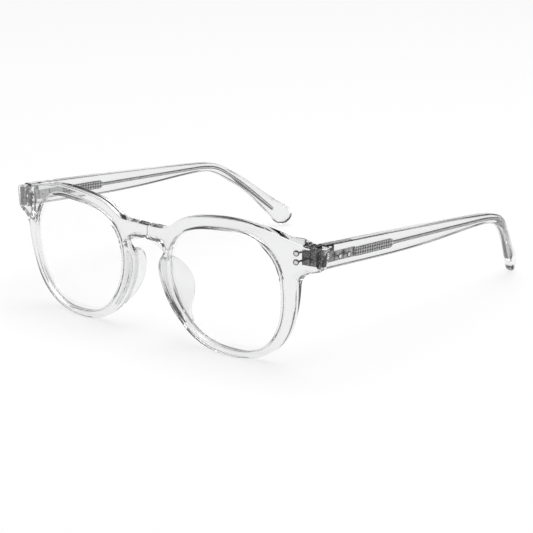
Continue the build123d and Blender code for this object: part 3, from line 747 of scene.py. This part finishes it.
def make_rivet(name, turn, body, at, outward, end):
    """A turned rivet: rings of the profile's radius, square to the face at the head, to the shaft below."""
    at, end = np.array(at, float), np.array(end, float)
    outward = np.array(outward, float) / np.linalg.norm(outward)
    under_head = at - 0.5 * outward
    shaft = end - under_head
    into = shaft / np.linalg.norm(shaft)
    depth = np.concatenate((RIVET_PROFILE[:, 0], [0.62, 0.8]))
    shaft_radii = [RIVET_SHAFT_RADIUS, RIVET_SHAFT_RADIUS, RIVET_SHAFT_RADIUS, 0.3, 0.0]
    radius = np.concatenate((RIVET_PROFILE[:, 1], shaft_radii))
    centre = at - depth[:, None] * outward
    centre[-2:] = under_head + (depth[-2:, None] - 0.5) * into
    centre = np.concatenate((centre, end - np.array([[0.04], [0.0], [0.0]]) * into))
    blend = smoothstep(np.concatenate((depth, [9.0, 9.0, 9.0])), 0.4, 0.7)[:, None]
    axis = -outward * (1 - blend) + into * blend
    axis /= np.linalg.norm(axis, axis=1, keepdims=True)
    side_axis = np.array([0.0, 0.0, 1.0]) - axis[:, 2:] * axis
    side_axis /= np.linalg.norm(side_axis, axis=1, keepdims=True)
    third_axis = np.cross(axis, side_axis)
    angle = np.linspace(0.0, 2 * math.pi, 49)[:-1, None, None]
    points = centre[None] + radius[None, :, None] * (np.cos(angle) * side_axis + np.sin(angle) * third_axis)
    # Painted shade round the edge of the head, under it and down the shaft.
    groove = np.zeros(len(radius))
    groove[4:10] = (0.2, 0.8, 1.0, 1.0, 1.0, 0.8)
    groove[10:] = 0.75
    recess = np.broadcast_to(groove, points.shape[:2])
    faces = grid_faces(points.shape[0], points.shape[1], round_rows=True)
    points = on_side(points, turn)
    return mesh_piece(name + "_turned", points, faces, body, RIVET, [name], sharp=40.0,
                      recess=recess)


def make_rivets(side, turn):
    """Two rivets through the end piece, square to its face, and two through the temple."""
    u = FRONT_RIVET_U
    reach = math.hypot(u, BRIDGE_SOFTNESS)
    slope_u = u / WRAP_RADIUS + (reach - LENS_HALF_SPACING) * u / reach / DOME_RADIUS
    for place, v in FRONT_RIVETS_V.items():
        at = stood_up(u, front_depth(u, v), v)
        outward = stood_up(slope_u, -1.0, v / DOME_RADIUS) - np.array([0.0, 0.0, FRONT_HEIGHT])
        make_rivet(side + "_front_rivet_" + place, turn, "front", at, outward, (u, MITRE_Y, at[2]))
    for place, y in TEMPLE_RIVETS_Y.items():
        z = on_temple_line(y)
        make_rivet(side + "_temple_rivet_" + place, turn, side + "_temple", (TEMPLE_OUTER_X, y, z), (1, 0, 0),
                   (TEMPLE_OUTER_X - TEMPLE_THICKNESS, y, z))


# ---------------------------------------------------------------------------------------------------
# Nose pads
# ---------------------------------------------------------------------------------------------------
def rim_back_y(x, z):
    """Y of the rim's back face at a place across and up: its depth, corrected three times for the tilt."""
    v = (z - FRONT_HEIGHT) / math.cos(FRONT_TILT)
    for _ in range(3):
        depth = front_depth(x, v) + FRONT_THICKNESS
        v = (z - FRONT_HEIGHT - depth * math.sin(FRONT_TILT)) / math.cos(FRONT_TILT)
    return depth * math.cos(FRONT_TILT) - v * math.sin(FRONT_TILT)


def make_pad(side, turn):
    """A fin off the back of the rim: rounded wedge sections on a smooth course from top to bottom."""
    course = smooth_curve(np.array(PAD_SECTIONS)[::-1], 90)
    z, inner, outer, rear_x, rear_y, thick = course.T
    around = np.linspace(-math.pi / 2, math.pi / 2, 15)[:, None]
    rear_centre_y = rear_y - thick / 2
    nose_x = rear_x + np.sin(around) * thick / 2
    nose_y = rear_centre_y + np.cos(around) * thick / 2
    rise = np.linspace(0.0, 1.0, 14)[:-1, None]
    flare = PAD_FLARE * (1 - rise) ** 4
    inner_root_y = rim_back_y(inner, z) - PAD_SINK
    outer_root_y = rim_back_y(outer, z) - PAD_SINK
    inner_x = inner + (rear_x - thick / 2 - inner) * rise - flare
    inner_y = inner_root_y + (rear_centre_y - inner_root_y) * rise
    outer_x = outer + (rear_x + thick / 2 - outer) * rise + flare
    outer_y = outer_root_y + (rear_centre_y - outer_root_y) * rise
    x = np.concatenate((inner_x, nose_x, outer_x[::-1]))
    y = np.concatenate((inner_y, nose_y, outer_y[::-1]))
    points = np.stack([x, y, np.broadcast_to(z, x.shape)], -1)
    faces = grid_faces(points.shape[0], points.shape[1], round_rows=True)
    points = on_side(points, turn)
    return mesh_piece(side + "_pad", points, faces, "front", ACETATE, [side + "_nose_pad"])


make_front()
for side, turn in (("left", 1), ("right", -1)):
    make_lens(side, turn)
    make_temple(side, turn)
    make_core(side, turn)
    make_pad(side, turn)
    make_rivets(side, turn)
    finishes = {"front_hinge": FRONT_LEAF, "temple_hinge": TEMPLE_LEAF, "hinge_screw": SCREW_STEEL}
    for part, finish in finishes.items():
        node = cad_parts[side + "_" + part]
        node.data.materials.clear()
        node.data.materials.append(finish)


# ---------------------------------------------------------------------------------------------------
# Floor, light and camera
# ---------------------------------------------------------------------------------------------------
FLOOR_GLOW = 0.76    # share of plain white in the floor where it is seen; the rest keeps the shadow


def seen_directly(tree):
    """1 for camera, glossy and transmission rays, 0 for the light that falls on surfaces."""
    path = add(tree, "ShaderNodeLightPath")
    first = math_node(tree, "MAXIMUM", path.outputs["Is Camera Ray"], path.outputs["Is Glossy Ray"])
    return math_node(tree, "MAXIMUM", first, path.outputs["Is Transmission Ray"])


def make_floor():
    """A wide round floor, matt and near white, which keeps part of the shadow where it is seen."""
    angle = np.linspace(0.0, 2 * math.pi, 97)[:-1]
    rings = np.array([0.0, 0.3, 1.0, 3.0, 9.0])[:, None]
    points = np.stack([rings * np.cos(angle), rings * np.sin(angle), np.zeros((5, 96))], -1)
    mesh = bpy.data.meshes.new("floor")
    mesh.from_pydata(points.reshape(-1, 3).tolist(), [], grid_faces(5, 96, round_columns=True).tolist())
    material = bpy.data.materials.new("white_floor")
    material.use_nodes = True
    tree = material.node_tree
    shader = tree.nodes["Principled BSDF"]
    place = add(tree, "ShaderNodeTexCoord").outputs["Object"]
    grain = add(tree, "ShaderNodeTexNoise", Vector=place, Scale=600.0, Detail=2.0).outputs[0]
    tone = add(tree, "ShaderNodeMapRange", Value=grain, _1=0.3, _2=0.7, _3=0.93, _4=0.95).outputs[0]
    tree.links.new(tone, shader.inputs["Base Color"])
    shader.inputs["Roughness"].default_value = 0.9
    shader.inputs["Specular IOR Level"].default_value = 0.0
    glow = add(tree, "ShaderNodeEmission", Color=(1, 1, 1, 1), Strength=1.0)
    share = math_node(tree, "MULTIPLY", seen_directly(tree), FLOOR_GLOW)
    mixed = add(tree, "ShaderNodeMixShader", _0=share, _1=shader.outputs[0], _2=glow.outputs[0])
    tree.links.new(mixed.outputs[0], tree.nodes["Material Output"].inputs["Surface"])
    mesh.materials.append(material)
    floor = bpy.data.objects.new("floor", mesh)
    bpy.context.scene.collection.objects.link(floor)


make_floor()


def make_studio():
    """Light that depends on height alone: a bright horizon and ceiling with a dark band between.

    The band gives clear edges their dark lines. Where it is seen directly the studio is plain white.
    """
    world = bpy.data.worlds.new("studio")
    bpy.context.scene.world = world
    world.use_nodes = True
    tree = world.node_tree
    tree.nodes.clear()
    direction = add(tree, "ShaderNodeTexCoord").outputs["Generated"]
    split = add(tree, "ShaderNodeSeparateXYZ", _0=direction)
    height = split.outputs[2]
    smooth = {"interpolation_type": "SMOOTHSTEP"}
    horizon = add(tree, "ShaderNodeMapRange", smooth, Value=height, _1=0.05, _2=0.3,
                  _3=1.0, _4=0.04).outputs[0]
    ceiling = add(tree, "ShaderNodeMapRange", smooth, Value=height, _1=0.7, _2=0.9,
                  _3=0.0, _4=1.8).outputs[0]
    level = math_node(tree, "MAXIMUM", horizon, ceiling)
    camera_ray = add(tree, "ShaderNodeLightPath").outputs["Is Camera Ray"]
    strength = add(tree, "ShaderNodeMix", Factor=camera_ray, A=level, B=1.0).outputs[0]
    light = add(tree, "ShaderNodeBackground", Color=(1, 1, 1, 1), Strength=strength)
    output = add(tree, "ShaderNodeOutputWorld")
    tree.links.new(light.outputs[0], output.inputs[0])


make_studio()


def soft_lamp(name, place, aim, size, power):
    """A rectangular lamp at a place, turned towards its aim, with its size in metres and power in watts."""
    lamp = bpy.data.lights.new(name, "AREA")
    lamp.shape = "RECTANGLE"
    lamp.size, lamp.size_y = size
    lamp.energy = power
    holder = bpy.data.objects.new(name, lamp)
    holder.location = place
    holder.rotation_mode = "QUATERNION"
    holder.rotation_quaternion = (Vector(aim) - Vector(place)).to_track_quat("-Z", "Y")
    bpy.context.scene.collection.objects.link(holder)


soft_lamp("overhead_softbox", (0.1, 0.1, 0.9), (0.0, 0.0, 0.02), (0.9, 0.6), 4.0)


CAMERA_PLACE = np.array([378.884, -385.051, 184.666])
CAMERA_BACKWARD = (0.61628451, -0.73476643, 0.28339318)
CAMERA_ROLL = -0.01219524
CAMERA_FOCAL_LENGTH = 112.02


def make_camera():
    """In front of the wearer's left side and a little above the glasses, with a long lens."""
    place = Vector((CAMERA_PLACE + TO_FRAME) * MM)
    backward = Vector(CAMERA_BACKWARD).normalized()
    level = Vector((-backward.y, backward.x, 0.0)).normalized()
    upward = backward.cross(level)
    right = math.cos(CAMERA_ROLL) * level + math.sin(CAMERA_ROLL) * upward
    upright = backward.cross(right)
    data = bpy.data.cameras.new("camera")
    data.lens = CAMERA_FOCAL_LENGTH
    data.sensor_width = 36.0
    data.clip_start = 0.01
    data.clip_end = 50.0
    camera = bpy.data.objects.new("camera", data)
    camera.matrix_world = Matrix.Translation(place) @ Matrix((right, upright, backward)).transposed().to_4x4()
    bpy.context.scene.collection.objects.link(camera)
    bpy.context.scene.camera = camera


make_camera()

settings = bpy.context.scene
settings.view_settings.view_transform = "Standard"
settings.cycles.max_bounces = 24
settings.cycles.transmission_bounces = 24
settings.cycles.glossy_bounces = 12
